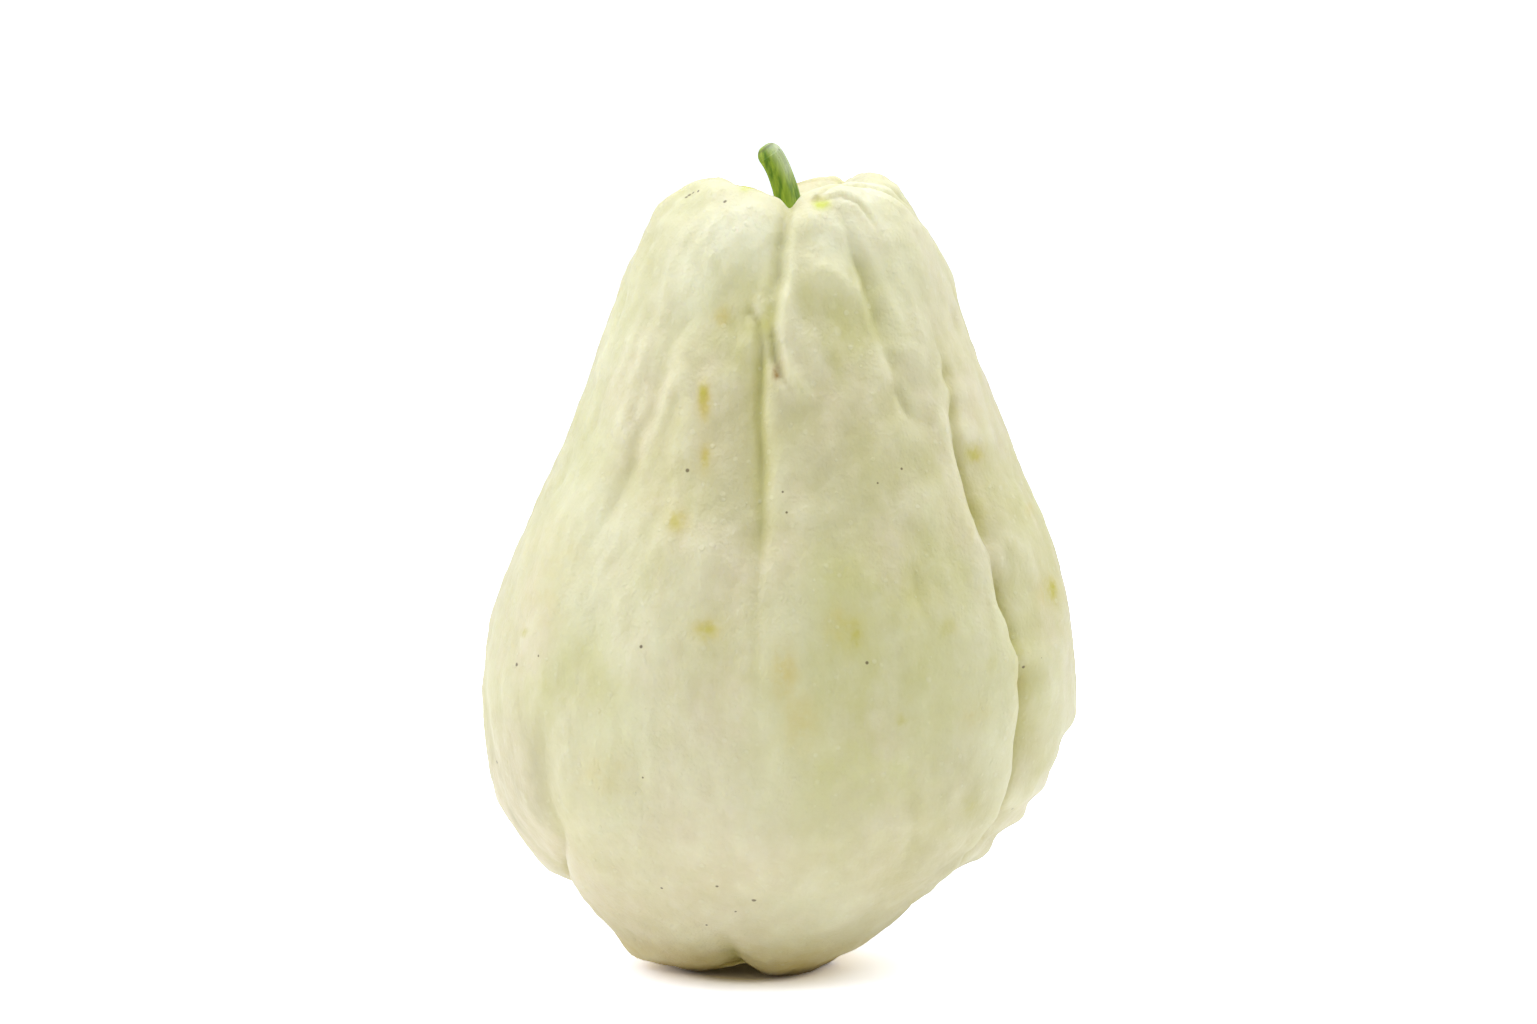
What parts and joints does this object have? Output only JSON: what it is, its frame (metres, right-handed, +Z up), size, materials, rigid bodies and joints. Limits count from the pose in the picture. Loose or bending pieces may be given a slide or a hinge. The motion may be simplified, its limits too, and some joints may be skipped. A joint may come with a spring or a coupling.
{
  "type": "chayote squash",
  "caption": "Whole pale green pear-shaped chayote with deep lengthwise folds, standing on its blossom end with a short cut stem.",
  "frame": {"origin": "on the ground, under the middle of the squash's bounding box", "axes": "+Z up from the foot to the stem, +Y from the pictured front to the back, +X to the front's right"},
  "size_m": [0.0984, 0.0824, 0.1374],
  "materials": {
    "fruit_skin": "smooth waxy pale cream-green skin with yellow-green creases, soft ochre blotches and tiny dark specks",
    "stem_skin": "finely ribbed mid-green stalk with a greyish bloom and a paler cut end"
  },
  "bodies": {
    "root": {"fruit": "fruit_skin", "stem": "stem_skin"}
  },
  "joints": []
}
